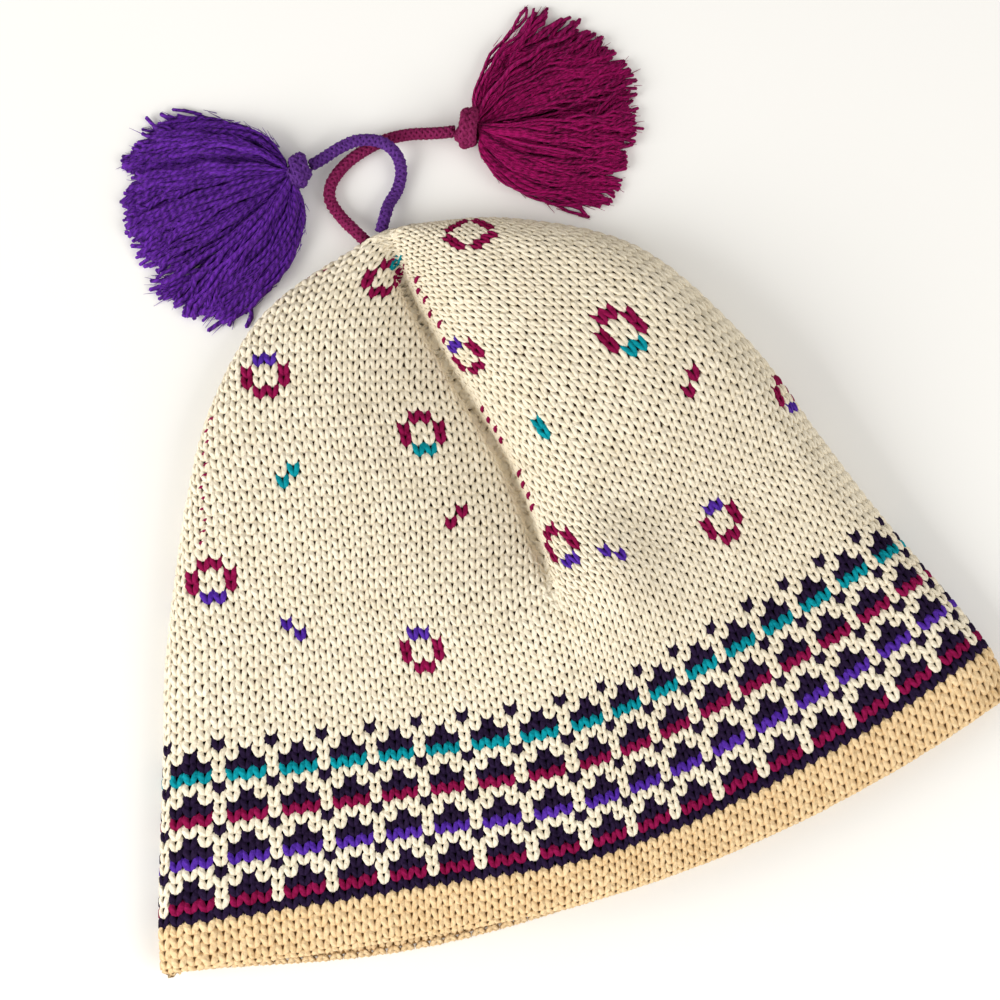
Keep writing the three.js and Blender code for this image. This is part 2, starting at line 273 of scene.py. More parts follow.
def gore_lines(rows, gore):
    """One gore's outer surface at these rows, evenly spaced along each row's line, its far end left out.

    Gores 0 and 1 are the front, from the left fold to the right one, and 2 and 3 are the back.
    """
    left_half = not on_right(gore)
    f = 0.5 - 0.5 * np.cos(np.pi * np.arange(LINE_SAMPLES + 1) / LINE_SAMPLES)
    from_fold = (f if gore % 2 == 0 else 1 - f)[None, :]
    columns = (LEFT, LEFT_MID, RIGHT_MID) if left_half else (RIGHT, RIGHT_MID, LEFT_MID)
    fold, middle, far_middle = (column_at(c, rows)[:, None, :] for c in columns)
    dart = column_at(DART, rows)[:, None, :]
    share = dart_share(rows)[:, None]

    def across(a, b, c, d):
        own = a - 4 * b + 3 * c
        return through_three(a, b, c, from_fold, (d - b) * (1 - share) + own * share)

    x = across(fold[..., 0], middle[..., 0], dart[..., 0], far_middle[..., 0])
    y = across(fold[..., 1], middle[..., 1], dart[..., 1], far_middle[..., 1])
    width = np.hypot(dart[..., 0] - fold[..., 0], dart[..., 1] - fold[..., 1])
    fold_reach = np.minimum(FOLD_REACH, FOLD_SHARE * width)
    distance = from_fold * width
    if gore < FRONT_GORES:
        rise, slope_reach = (0, LEFT_SLOPE_REACH) if left_half else (RIDGE_RISE, RIDGE_REACH)
        rise = rise * share
        to_dart = width - distance
        top = across(SHOULDER * middle[..., 2], middle[..., 2], dart[..., 2] + rise, far_middle[..., 2])
        fall = 1 - swollen(to_dart, np.minimum(slope_reach, SLOPE_SHARE * width))
        top = top - (rise + VALLEY_DEPTH * share) * fall
        top = top - CREASE_DROP * share * np.exp(-((to_dart / CREASE_REACH) ** 2))
        puff_x, puff_y, puff_reach, puff_rise = PUFF
        top = top + puff_rise * np.exp(-((x - puff_x) ** 2 + (y - puff_y) ** 2) / puff_reach**2)
        z = FOLD_HEIGHT + (top - FOLD_HEIGHT) * rounded(distance, fold_reach)
    else:
        z = FOLD_HEIGHT * (1 - rounded(distance, np.minimum(UNDER_REACH, fold_reach)))
        if left_half:
            hanging = 1 - smoothstep(rows[:, None], 0, BACK_DROP_ROWS)
            y = y - BACK_DROP * hanging * np.sin(np.pi * from_fold) ** 2
    fine = np.stack(np.broadcast_arrays(x, y, z), axis=-1)
    steps = np.arange(GRID_STEPS_PER_GORE) / GRID_STEPS_PER_GORE
    return np.stack([points_at(line, r, steps * r[-1]) for r, line in zip(reached_along(fine), fine)])


def points_at(line, reached, lengths):
    """Points on a line at these lengths from its start, where reached holds the lengths of its own points."""
    return np.stack([np.interp(lengths, reached, line[:, axis]) for axis in range(3)], axis=-1)


class Cloth:
    """A closed surface round the hat, as points on row lines. Its columns run 0 to 4, one for each gore."""

    def __init__(self, first_row, row_step, points):
        self.first_row, self.row_step, self.points = first_row, row_step, points
        along = np.roll(points, -1, axis=1) - np.roll(points, 1, axis=1)
        up = np.gradient(points, axis=0) * np.sign(row_step)
        self.normals = unit(np.cross(along, up))

    def read(self, grid, rows, columns):
        r = np.clip((rows - self.first_row) / self.row_step, 0, len(grid) - 1 - ROW_EDGE)
        c = (columns * grid.shape[1] / GORES) % grid.shape[1]
        i, j = r.astype(int), c.astype(int) % grid.shape[1]
        u, w = (r - i)[..., None], (c - np.floor(c))[..., None]
        k = (j + 1) % grid.shape[1]
        low = grid[i, j] * (1 - w) + grid[i, k] * w
        return low * (1 - u) + (grid[i + 1, j] * (1 - w) + grid[i + 1, k] * w) * u

    def at(self, rows, columns, height):
        """Points this far above the surface, in millimetres."""
        normals = unit(self.read(self.normals, rows, columns))
        return self.read(self.points, rows, columns) + normals * height[..., None]


def outer_cloth():
    rows = np.arange(0, TIP_ROW + GRID_ROW_STEP, GRID_ROW_STEP)
    return Cloth(0, GRID_ROW_STEP, np.concatenate([gore_lines(rows, g) for g in range(GORES)], axis=1))


# The hem runs down the outside, round its half-round edge, and up the inside
HEM_TURN_ROWS = 0.5 * HEM_WALL / ROW_HEIGHT
HEM_ROUND_ROWS = 0.5 * math.pi * HEM_WALL / ROW_HEIGHT
HEM_INSIDE_ROWS = 5


def hem_cloth(outer):
    """The hem's surface. Its row coordinate falls past zero round the edge and up the inside."""
    end = HEM_TURN_ROWS - HEM_ROUND_ROWS
    run = np.arange(HEM_TOP_ROW + 1, end - HEM_INSIDE_ROWS, -GRID_ROW_STEP)
    turn = np.pi * np.clip((HEM_TURN_ROWS - run) / HEM_ROUND_ROWS, 0, 1)
    row = np.where(run > HEM_TURN_ROWS, run, HEM_TURN_ROWS * (1 - np.sin(turn)))
    row = np.where(run < end, HEM_TURN_ROWS + end - run, row)
    depth = 0.5 * HEM_WALL * (1 - np.cos(turn))
    columns = np.arange(GORES * GRID_STEPS_PER_GORE) / GRID_STEPS_PER_GORE
    rows, columns = np.meshgrid(row, columns, indexing="ij")
    points = outer.at(rows, columns, -np.repeat(depth[:, None], columns.shape[1], axis=1))
    return Cloth(run[0], -GRID_ROW_STEP, points)


def on_right(gore):
    return (gore == 1) | (gore == 2)


def table_rows(gore, rows):
    """The rows of the table where these knitted rows of a gore lie."""
    return np.where(on_right(gore), np.interp(rows, KNITTED_ROWS, TABLE_ROWS), rows)


def wales_at(gore, rows):
    left, right = (np.interp(rows, WALE_ROWS, wales) for wales in (WALES_ON_LEFT, WALES_ON_RIGHT))
    return np.maximum(np.where(on_right(gore), right, left), FEWEST_WALES)


def column_of(gore, wale, rows):
    """The column coordinate of a place counted in wales from the gore's own left edge at full width."""
    column = gore + 0.5 + (wale - 0.5 * GORE_WALES) / wales_at(gore, rows)
    return column + np.interp(column * GORE_WALES, *zip(*PULL), period=GORES * GORE_WALES) / GORE_WALES


# Meshes

# How far a tube's end stands past its last ring, as a share of its radius
POLE_SHARE = 0.6
# The gap round each part of a mesh in its bake map, as a share of its square
BAKE_MARGIN = 0.06


class Piece:
    """Gathers tubes and skins of millimetre points into one mesh with its yarn map and bake map."""

    def __init__(self, name):
        self.name = name
        self.batches = []

    def add(self, points, loops, sizes, run, bake, tone, finishes):
        """points (copies, n, 3), one copy's loops and sizes, maps for each corner, and each face's finish."""
        self.batches.append((points, loops, sizes, run, bake, tone, finishes))

    def tubes(self, paths, radii, sides, up=(0, 0, 1), tone=None, finish=0, flat=1.0):
        """Closed tubes along paths (copies, rings, 3) of radii (copies, rings). flat squashes them."""
        copies, rings, _ = paths.shape
        forward = unit(np.gradient(paths, axis=1))
        side = unit(np.cross(np.broadcast_to(up, forward.shape), forward))
        lift = np.cross(forward, side)
        turn = 2 * np.pi * np.arange(sides) / sides
        ring = side[:, :, None] * np.cos(turn)[:, None] + flat * lift[:, :, None] * np.sin(turn)[:, None]
        walls = paths[:, :, None] + radii[..., None, None] * ring
        first = paths[:, 0] - POLE_SHARE * radii[:, 0, None] * forward[:, 0]
        last = paths[:, -1] + POLE_SHARE * radii[:, -1, None] * forward[:, -1]
        points = np.concatenate([walls.reshape(copies, -1, 3), first[:, None], last[:, None]], axis=1)
        self.add_tubes(points, rings, sides, reached_along(paths), tone, finish)

    def add_tubes(self, points, rings, sides, length, tone, finish):
        loops, sizes, ring, turn = tube_faces(rings, sides)
        run = np.stack([np.broadcast_to(turn, (len(points), len(turn))), length[:, ring]], axis=-1)
        bake = np.stack([turn, ring / (rings - 1)], axis=-1)
        tone = np.zeros(len(points)) if tone is None else tone
        finishes = np.repeat(np.broadcast_to(finish, len(points))[:, None], len(sizes), axis=1)
        self.add(points, loops, sizes, run, bake, tone, finishes)

    def skin(self, rings, finish=0):
        """A skin through rings (n, size, 3), closed on its first ring. Its map counts points and rings."""
        count, size, _ = rings.shape
        i, j = np.meshgrid(np.arange(count), np.arange(size), indexing="ij")
        low, high, after = i * size, (i + 1) % count * size, (j + 1) % size
        quads = np.stack([low + j, low + after, high + after, high + j], axis=-1)
        corners = [np.stack([j, j + 1, j + 1, j], axis=-1), np.stack([i, i, i + 1, i + 1], axis=-1)]
        run = np.stack(corners, axis=-1).reshape(-1, 2)
        bake = run / (size, count)
        sizes = np.full(count * size, 4)
        finishes = np.broadcast_to(finish, count)[i].reshape(1, -1)
        points = rings.reshape(1, -1, 3)
        self.add(points, quads.reshape(-1), sizes, run[None], bake, np.zeros(1), finishes)

    def make(self, finishes, slot, *nodes):
        """The object itself. It rides on the hat's body and stands for the given nodes."""
        copies = sum(len(b[0]) for b in self.batches)
        across = math.ceil(math.sqrt(copies))
        margin = BAKE_MARGIN if copies > 1 else 0.0
        points, loops, sizes, runs, bakes, tones, slots = [], [], [], [], [], [], []
        base, cell = 0, 0
        for place, face_loops, face_sizes, run, bake, tone, face_finishes in self.batches:
            n, size, _ = place.shape
            points.append(place.reshape(-1, 3))
            loops.append((face_loops[None] + base + size * np.arange(n)[:, None]).reshape(-1))
            sizes.append(np.tile(face_sizes, n))
            runs.append(run.reshape(-1, 2))
            at = np.arange(cell, cell + n)
            corner = np.stack([at % across, at // across], axis=-1)[:, None]
            bakes.append(((corner + margin + (1 - 2 * margin) * bake[None]) / across).reshape(-1, 2))
            tones.append(np.repeat(tone, size))
            slots.append(face_finishes.reshape(-1))
            base += n * size
            cell += n
        points, loops, sizes = np.concatenate(points) * MM, np.concatenate(loops), np.concatenate(sizes)
        mesh = bpy.data.meshes.new(self.name)
        mesh.vertices.add(len(points))
        mesh.vertices.foreach_set("co", points.astype(np.float32).reshape(-1))
        mesh.loops.add(len(loops))
        mesh.loops.foreach_set("vertex_index", loops.astype(np.int32))
        mesh.polygons.add(len(sizes))
        starts = np.concatenate([[0], np.cumsum(sizes)[:-1]])
        mesh.polygons.foreach_set("loop_start", starts.astype(np.int32))
        mesh.polygons.foreach_set("material_index", np.concatenate(slots).astype(np.int32))
        mesh.update(calc_edges=True)
        if mesh.validate():
            raise RuntimeError(f"{self.name} holds a face that isn't valid")
        mesh.shade_smooth()
        for name, values in (("yarn_run", runs), ("OFBake", bakes)):
            layer = mesh.uv_layers.new(name=name, do_init=False)
            layer.uv.foreach_set("vector", np.concatenate(values).astype(np.float32).reshape(-1))
        mesh.uv_layers["yarn_run"].active_render = True
        tone = mesh.attributes.new("tone", "FLOAT", "POINT")
        tone.data.foreach_set("value", np.concatenate(tones).astype(np.float32))
        for material in finishes:
            mesh.materials.append(material)
        piece = bpy.data.objects.new(self.name, mesh)
        bpy.context.scene.collection.objects.link(piece)
        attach(piece, BODY)
        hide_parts(*nodes)
        return piece


def tube_faces(rings, sides):
    """One closed tube: its corners, face sizes, and each corner's ring and turn. Its poles come last."""
    i, j = np.meshgrid(np.arange(rings - 1), np.arange(sides), indexing="ij")
    after = (j + 1) % sides
    low, high = i * sides, (i + 1) * sides
    quads = np.stack([low + j, low + after, high + after, high + j], axis=-1)
    ring = np.stack([i, i, i + 1, i + 1], axis=-1).reshape(-1)
    turn = np.stack([j, j + 1, j + 1, j], axis=-1).reshape(-1)
    k = np.arange(sides)
    first = np.stack([(k + 1) % sides, k, np.full(sides, rings * sides)], axis=-1)
    last = np.stack([k, (k + 1) % sides, np.full(sides, sides + 1)], axis=-1) + (rings - 1) * sides
    loops = np.concatenate([quads.reshape(-1), first.reshape(-1), last.reshape(-1)])
    sizes = np.concatenate([np.full(quads.size // 4, 4), np.full(2 * sides, 3)])
    ring = np.concatenate([ring, np.zeros(3 * sides, int), np.full(3 * sides, rings - 1)])
    fan = np.stack([k + 1, k, k + 0.5], axis=-1).reshape(-1)
    other_fan = np.stack([k, k + 1, k + 0.5], axis=-1).reshape(-1)
    turn = np.concatenate([turn, fan, other_fan]) / sides
    return loops, sizes, ring, turn


# Stitches

# A right leg's centre line: wales from the stitch's middle, rows from its middle, height and radius
LEG = [
    (0.06, -0.62, -1.10, 0.52),
    (0.15, -0.42, -0.76, 0.82),
    (0.25, -0.12, -0.64, 0.87),
    (0.355, 0.18, -0.67, 0.93),
    (0.335, 0.44, -0.94, 0.80),
    (0.21, 0.80, -1.60, 0.60),
]
# The same leg with fewer rings, for the side that lies on the table
BACK_LEG = [LEG[0], LEG[1], LEG[3], LEG[5]]
LEG_FLATNESS = 0.58
# The hem's yarn is a little thicker
HEM_LEG_FATNESS = 1.02
HEM_LEG = [(*place, HEM_LEG_FATNESS * radius) for *place, radius in LEG]
WALE_MM = 3.55
FRONT_SIDES = 5
BACK_SIDES = 3
# Stitches sink towards a dart's seam, and run this many wales past it, where they turn under
SEAM_SINK = 0.5
SEAM_REACH = 1.0
SEAM_EXTRA_WALES = 0.6
# How far stitches stray: in wales and rows, in lean, in millimetres of height, and in a leg's width
STRAY_PLACE = (0.02, 0.03)
STRAY_LEAN = 0.025
STRAY_LIFT = 0.05
STRAY_WIDTH = 0.04
STITCH_TONE = 0.5
LEG_TONE = 0.15
# A leg's yarn starts anywhere in this length of its map
MAP_START = 3


def leg_template(leg, sides):
    """One right leg as points in wales, rows and millimetres of height."""
    line = np.array(leg, float)
    path = line[:, :3] * (WALE_MM, ROW_HEIGHT, 1)
    shape = Piece("leg")
    shape.tubes(path[None], line[None, :, 3], sides, flat=LEG_FLATNESS)
    points = shape.batches[0][0][0]
    return points / (WALE_MM, ROW_HEIGHT, 1)


def lay_stitches(piece, cloth, stitches, leg, sides, rng):
    """Two legs for each stitch (gore, wale, row, finish) on the cloth."""
    unevenness = bpy.context.scene.tassel_hat_yarns.unevenness
    gore, wale, row, finish_index = stitches.T
    count = len(stitches)
    template = leg_template(leg, sides)
    rings = len(leg)
    length = reached_along(np.array(leg)[:, :2] * (WALE_MM, ROW_HEIGHT))
    nudge = unevenness * rng.normal(0, STRAY_PLACE, (count, 2))
    lean = unevenness * rng.normal(0, STRAY_LEAN, count)
    lift = unevenness * rng.normal(0, STRAY_LIFT, count)
    tone = rng.normal(0, STITCH_TONE, count)
    for hand in (1, -1):
        points = template[None] * (hand, 1, 1)
        fat = 1 + unevenness * rng.normal(0, STRAY_WIDTH, count)[:, None]
        v = table_rows(gore[:, None], points[..., 1] + nudge[:, 1:] + row[:, None])
        u = points[..., 0] * fat + nudge[:, :1] + lean[:, None] * points[..., 1] + wale[:, None] + 0.5
        columns = column_of(gore[:, None], u, v)
        seam = np.abs(columns - np.round(columns)) * wales_at(gore[:, None], v)
        at_dart = dart_share(v) * np.exp(-((seam / SEAM_REACH) ** 2))
        height = points[..., 2] + lift[:, None] - SEAM_SINK * at_dart
        placed = cloth.at(v, columns, height)
        if hand < 0:
            placed = mirrored_order(placed, rings, sides)
        run = np.broadcast_to(length + MAP_START * rng.random((count, 1)), (count, rings))
        leg_tone = tone + rng.normal(0, LEG_TONE, count)
        piece.add_tubes(placed, rings, sides, run, leg_tone, finish_index.astype(int))


def mirrored_order(points, rings, sides):
    """The same points with each ring turned the other way round, so that a mirrored tube faces outwards."""
    walls = points[:, : rings * sides].reshape(len(points), rings, sides, 3)[:, :, ::-1]
    return np.concatenate([walls.reshape(len(points), -1, 3), points[:, rings * sides :]], axis=1)


def stitches_of(gores, rows, colour):
    """Each stitch that the darts leave, as gore, wale, row and yarn."""
    found = []
    wales = np.arange(-PULL_REACH, GORE_WALES + PULL_REACH)
    for gore in gores:
        for row in rows:
            at = table_rows(gore, row)
            if at > TIP_ROW - 1:
                continue
            left = wales_at(gore, at)
            extra = SEAM_EXTRA_WALES / left if left < GORE_WALES else 0
            columns = column_of(gore, wales + 0.5, at) - gore
            for wale in wales[(columns >= -extra) & (columns < 1 + extra)]:
                found.append((gore, wale, row, colour(gore, int(wale), row)))
    return np.array(found, float)


def band_yarn(gore, wale, row):
    line = BAND_CHART[int(BAND_TOP_ROW - 0.5 - row)]
    return line[(gore * GORE_WALES + wale) % len(line)]


def hem_yarn(_gore, _wale, _row):
    return 0


def crown_yarn(gore, wale, row):
    return CROWN_CHART.get((gore, wale, row), C)


# Rings of the crown: gore, left wale, bottom row, stitches to a side, and the top, side and bottom yarns
RINGS = [
    (0, 3, 34, 2, P, P, V),
    (0, 20, 26, 2, V, P, P),
    (0, 22, 46, 2, P, P, T),
    (0, 9, 52, 2, V, P, P),
    (0, 18, 61, 2, P, P, P),
    (1, 3, 33, 2, P, P, V),
    (1, 18, 27, 2, V, P, P),
    (1, 19, 45, 2, P, P, T),
    (1, 7, 51, 2, V, P, P),
    (1, 18, 60, 3, P, P, P),
    (1, 30, 34, 2, P, P, V),
]
# Single stitches of the crown: gore, wale, row and yarn
SPECKS = [
    (0, 10, 31, V),
    (0, 11, 30, V),
    (0, 25, 39, P),
    (0, 26, 40, P),
    (0, 11, 44, T),
    (0, 12, 45, T),
    (0, 20, 64, T),
    (1, 8, 32, V),
    (1, 9, 31, V),
    (1, 10, 44, T),
    (1, 10, 43, T),
    (1, 23, 41, P),
    (1, 22, 40, P),
]
# The back of the crown repeats the front's motifs
CROWN_CHART = {}
for motif_gore, left, low, side, top_yarn, side_yarn, bottom_yarn in RINGS:
    for shown_gore in (motif_gore, motif_gore + FRONT_GORES):
        for step in range(1, side + 1):
            CROWN_CHART[shown_gore, left + step, low] = bottom_yarn
            CROWN_CHART[shown_gore, left + step, low + side + 1] = top_yarn
            CROWN_CHART[shown_gore, left, low + step] = side_yarn
            CROWN_CHART[shown_gore, left + side + 1, low + step] = side_yarn
for motif_gore, speck_wale, speck_row, speck_yarn in SPECKS:
    for shown_gore in (motif_gore, motif_gore + FRONT_GORES):
        CROWN_CHART[shown_gore, speck_wale, speck_row] = speck_yarn

# Places right of the front dart where a carried yarn shows between stitches: row, and wales from the dart
DART_FLOATS = [
    *((38.5, 1.2), (39.5, 1.4), (40.5, 1.2), (41.4, 1.3), (44.6, 1.2), (45.6, 1.4)),
    *((46.6, 1.2), (47.6, 1.3), (55, 1.8), (56.4, 2.4), (57.8, 2.0), (59.2, 2.4)),
    *((60.5, 2.2), (61.6, 2.6)),
]
# It also shows in one line of holes above the lowest ring at the left edge: row, and wales from the edge
EDGE_FLOATS = [
    *((39, 3.5), (40, 3.5), (41, 3.5), (42, 3), (43, 3), (44, 2.5)),
    *((45, 2.5), (46, 2.5), (47, 2), (48, 2), (49, 1.5), (50, 1.5)),
]
# A float's slant in rows, its half width in wales, and how far its ends dip
FLOAT_SLANT = 0.14
FLOAT_HALF_WALES = 0.42
FLOAT_DIP = 0.9
FLOAT_RINGS = 5
FLOAT_SIDES = 5
# Gore, places, height above the cloth and radius
FLOATS = {
    "crown_left_front": (0, EDGE_FLOATS, -0.5, 0.5),
    "crown_right_front": (1, DART_FLOATS, -0.25, 0.62),
}


def lay_floats(piece, cloth, gore, places, height, radius):
    """Short loops of plum yarn that show between the wales."""
    row, wale = np.array(places, float).T[..., None]
    t = np.linspace(-1, 1, FLOAT_RINGS)[None]
    at = table_rows(gore, row + FLOAT_SLANT * t)
    columns = gore + (wale + FLOAT_HALF_WALES * t) / wales_at(gore, at)
    paths = cloth.at(at, columns, np.broadcast_to(height - FLOAT_DIP * t**2, columns.shape))
    piece.tubes(paths, np.full(columns.shape, radius), FLOAT_SIDES, finish=P)


# Materials


def add_node(tree, kind, inputs=(), **settings):
    """Adds a node, sets it, and fills its inputs with values or links from other sockets."""
    node = tree.nodes.new(kind)
    for name, value in settings.items():
        setattr(node, name, value)
    for name, value in dict(inputs).items():
        if isinstance(value, bpy.types.NodeSocket):
            tree.links.new(value, node.inputs[name])
        else:
            node.inputs[name].default_value = value
    return node


def calculate(tree, operation, *values, **settings):
    """The result of one step of arithmetic on values or sockets."""
    inputs = dict(enumerate(values))
    return add_node(tree, "ShaderNodeMath", inputs, operation=operation, **settings).outputs[0]


def sine_of_turns(tree, turns):
    return calculate(tree, "SINE", calculate(tree, "MULTIPLY", turns, 2 * math.pi))


# Sizes in millimetres: a turn of the plies, and the noise of fibres, tufts and blotches
PLY_PITCH = 2.4
FIBRE_SIZE = 0.3
TUFT_SIZE = 0.9
BLOTCH_SIZE = 9.0
PLIES = 2
# What each gives to the yarn's tone, from its painted shade colour at 0 to its lit one at 1
FIBRE_TONE = 0.9
TUFT_TONE = 0.8
BLOTCH_TONE = 0.5
PIECE_TONE = 0.14
DARKEST_TONE = -0.45
# What each gives to the bump, and how deep the bump is
TUFT_BUMP = 1.2
PLY_BUMP = 0.35
BUMP_STRENGTH = 0.8
BUMP_DEPTH = 0.3
# How much deeper in colour the painted shade is
SHADED_POWER = 1.5


def shaded(colour, depth):
    """Painted shade: the same yarn darker and deeper in colour, as it is between its fibres, where light has
    passed through more wool.
    """
    return (*[depth * c**SHADED_POWER for c in colour], 1.0)


def wool(name, colour, depth=0.78, sheen=0.25, light=1.0, ply=0.1, fuzz=1.0):
    """Plied wool yarn. Its own map runs round and along the yarn, so the plies wind round it.

    Fibres, tufts and a slow change of tone read the object's coordinates, so that no stitch has one flat
    colour. That tone runs from a painted shade colour to a lit colour, a painted highlight where light is
    above 1, and the plies' wave paints shade into the grooves between them. High roughness and sheen give the
    soft rim of wool's loose fibres. fuzz below 1 pales the sheen.
    """
    material = bpy.data.materials.new(name)
    material.use_nodes = True
    tree = material.node_tree
    shader = tree.nodes["Principled BSDF"]
    shader.inputs["Roughness"].default_value = 0.9
    shader.inputs["Specular IOR Level"].default_value = 0.06
    shader.inputs["Sheen Weight"].default_value = sheen
    shader.inputs["Sheen Roughness"].default_value = 0.6
    shader.inputs["Sheen Tint"].default_value = (*[c**fuzz for c in colour], 1.0)
    run = add_node(tree, "ShaderNodeUVMap", uv_map="yarn_run")
    place = add_node(tree, "ShaderNodeTexCoord").outputs["Object"]
    parts = add_node(tree, "ShaderNodeSeparateXYZ", {"Vector": run.outputs[0]})
    turns = calculate(tree, "MULTIPLY", parts.outputs["Y"], 1 / PLY_PITCH)
    wave = sine_of_turns(tree, calculate(tree, "MULTIPLY_ADD", parts.outputs["X"], PLIES, turns))

    def noise(size, detail):
        inputs = {"Vector": place, "Scale": 1 / (size * MM), "Detail": detail}
        return add_node(tree, "ShaderNodeTexNoise", inputs).outputs["Fac"]

    fibre = noise(FIBRE_SIZE, 2.0)
    tuft = noise(TUFT_SIZE, 1.0)
    tone = add_node(tree, "ShaderNodeAttribute", attribute_name="tone").outputs["Fac"]
    # Noise and each piece's tone vary the mix at random; its ends are painted shade and the lit colour
    mix = calculate(tree, "MULTIPLY_ADD", fibre, FIBRE_TONE, DARKEST_TONE)
    mix = calculate(tree, "MULTIPLY_ADD", tuft, TUFT_TONE, mix)
    mix = calculate(tree, "MULTIPLY_ADD", noise(BLOTCH_SIZE, 1.0), BLOTCH_TONE, mix)
    # The plies' wave paints shade in the grooves between plies
    mix = calculate(tree, "MULTIPLY_ADD", wave, ply, mix)
    mix = calculate(tree, "MULTIPLY_ADD", tone, PIECE_TONE, mix, use_clamp=True)
    tint = add_node(tree, "ShaderNodeMix", {"Factor": mix}, data_type="RGBA")
    tint.inputs["A"].default_value = shaded(colour, depth)
    tint.inputs["B"].default_value = (*[min(1, light * c) for c in colour], 1.0)
    tree.links.new(tint.outputs["Result"], shader.inputs["Base Color"])
    height = calculate(tree, "MULTIPLY_ADD", tuft, TUFT_BUMP, fibre)
    height = calculate(tree, "MULTIPLY_ADD", wave, PLY_BUMP, height)
    inputs = {"Height": height, "Strength": BUMP_STRENGTH, "Distance": BUMP_DEPTH * MM}
    tree.links.new(add_node(tree, "ShaderNodeBump", inputs).outputs[0], shader.inputs["Normal"])
    return material


# The purl bumps' depth, and what the wales give to them beside the rows
PURL_DEPTH = 0.5
PURL_WALE_SHARE = 0.4


def purl_wool(name, colour):
    """Wool of the knitting's wrong side, whose rows of purl bumps show. Its map counts wales and rows."""
    material = wool(name, colour, sheen=0.0)
    tree = material.node_tree
    run = add_node(tree, "ShaderNodeUVMap", uv_map="yarn_run")
    parts = add_node(tree, "ShaderNodeSeparateXYZ", {"Vector": run.outputs[0]})
    wales, rows = (sine_of_turns(tree, parts.outputs[axis]) for axis in ("X", "Y"))
    bumps = calculate(tree, "MULTIPLY_ADD", wales, PURL_WALE_SHARE, rows)
    shader = tree.nodes["Principled BSDF"]
    fibres = shader.inputs["Normal"].links[0].from_socket
    inputs = {"Height": bumps, "Strength": 1.0, "Distance": PURL_DEPTH * MM, "Normal": fibres}
    relief = add_node(tree, "ShaderNodeBump", inputs)
    tree.links.new(relief.outputs[0], shader.inputs["Normal"])
    return material


# Behind the cream stitches lie plum and cream floats; their colour is darkened here as painted shade
SHADED_FLOAT_COLOUR = linear("#72523F")[:3]
# Painted shade: how dark the wool behind the stitches is made, and the purl side inside the hat
BACKING_SHADE = 0.8
LINING_SHADE = 0.7
# Cut yarn is looser, so its plies, its shade and its fibres show more: deeper painted shade, a much brighter
# lit colour that is painted light on the fibres, and a paler sheen
CUT_YARN = {"depth": 0.55, "sheen": 0.5, "light": 2.1, "ply": 0.3, "fuzz": 0.5}
FINISHES = {}


def finish(name):
    """The named finish, made the first time it is asked for."""
    if name not in FINISHES:
        c = bpy.context.scene.tassel_hat_yarns
        made = {
            "cream": lambda: wool("cream_wool_yarn", c.cream),
            "hem": lambda: wool("warm_cream_wool_yarn", c.hem),
            "navy": lambda: wool("navy_wool_yarn", c.navy, sheen=0.08),
            "teal": lambda: wool("teal_wool_yarn", c.teal),
            "plum": lambda: wool("plum_wool_yarn", c.plum),
            "violet": lambda: wool("violet_wool_yarn", c.violet),
            "purple_cord": lambda: wool("purple_wool_cord", c.purple_cord),
            "plum_cord": lambda: wool("plum_wool_cord", c.plum_cord),
            "purple_fluff": lambda: wool("purple_wool_fluff", c.purple_tassel, **CUT_YARN),
            "plum_fluff": lambda: wool("plum_wool_fluff", c.plum_tassel, **CUT_YARN),
            # The crown's backing is floats in painted shade
            "backing": lambda: wool("shaded_floats", SHADED_FLOAT_COLOUR, sheen=0.0),
            # The hem's core and the band's navy floats take their yarns' colours darkened, painted shade
            "hem_backing": lambda: wool("shaded_hem_wool", shaded(c.hem, BACKING_SHADE)[:3], sheen=0.0),
            "dark_backing": lambda: wool("shaded_navy_floats", shaded(c.navy, BACKING_SHADE)[:3], sheen=0.0),
            # The purl side takes the cream darkened, painted shade inside the hat
            "lining": lambda: purl_wool("shaded_purl_side_wool", shaded(c.cream, LINING_SHADE)[:3]),
        }
        FINISHES[name] = made[name]()
    return FINISHES[name]


def yarn_finishes():
    return [finish(n) for n in YARNS]


# What a user would change


def yarn_colour(label, description, code):
    return FloatVectorProperty(
        name=label, description=description, default=linear(code)[:3], subtype="COLOR", size=3, min=0, max=1
    )


def amount(label, description, default, **settings):
    return FloatProperty(name=label, description=description, default=default, **settings)


class YarnSettings(bpy.types.PropertyGroup):
    """Colours of the yarns, and how uneven the knitting is."""

    cream: yarn_colour("Cream", "The crown's yarn and the band's light yarn", "#FBF0D9")
    hem: yarn_colour("Hem", "The hem's warmer cream yarn", "#F6D9AC")
    navy: yarn_colour("Navy", "The band's dark yarn", "#2B1C3A")
    teal: yarn_colour("Teal", "Teal stitches of the band and crown", "#0C9AA6")
    plum: yarn_colour("Plum", "Plum stitches of the band and crown", "#94164E")
    violet: yarn_colour("Violet", "Violet stitches of the band and crown", "#5E34A8")
    purple_cord: yarn_colour("Purple cord", "The purple tassel's cord and knot", "#663A8A")
    plum_cord: yarn_colour("Plum cord", "The plum tassel's cord and knot", "#8C2A5A")
    purple_tassel: yarn_colour("Purple tassel", "The purple tassel's cut yarn", "#481A74")
    plum_tassel: yarn_colour("Plum tassel", "The plum tassel's cut yarn", "#730840")
    unevenness: amount("Unevenness", "How far stitches stray from their places", 1.0, min=0, max=3)


